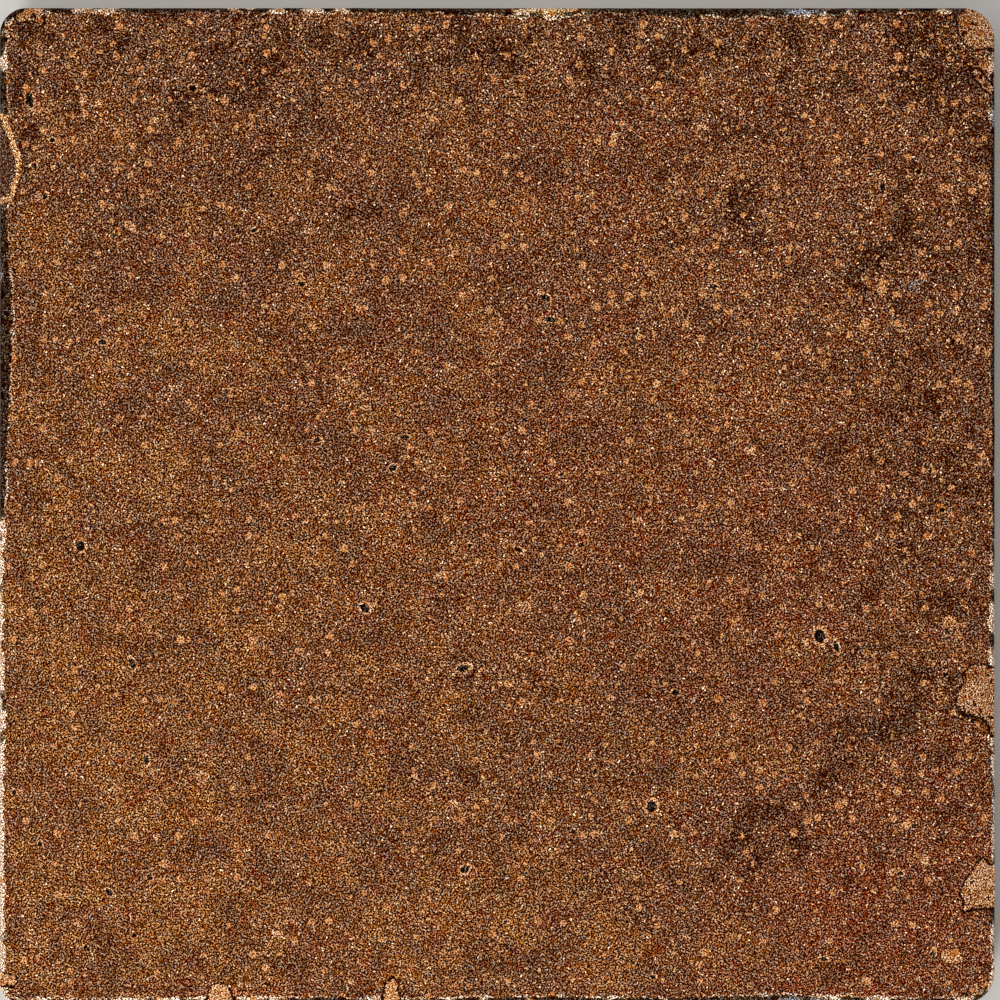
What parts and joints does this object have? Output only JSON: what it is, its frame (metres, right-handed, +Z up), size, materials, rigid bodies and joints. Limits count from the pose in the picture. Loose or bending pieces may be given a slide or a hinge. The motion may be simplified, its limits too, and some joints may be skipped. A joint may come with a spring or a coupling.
{
  "type": "terracotta floor tile",
  "caption": "Square fired-clay floor tile with a matt, grog-speckled walking face, worn edges, chips along its rim and a keyed back for bedding in mortar.",
  "frame": {"origin": "centre of the tile on the plane of its back, where it rests in its bed", "axes": "+Z up, out of the walking face; +X to the right and +Y away from the viewer of the picture, which looks straight down"},
  "size_m": [0.1998, 0.1998, 0.015],
  "materials": {
    "terracotta": "unglazed fired clay, matt, gritty and weathered"
  },
  "bodies": {
    "root": {"floor_tile": "terracotta"}
  },
  "joints": []
}
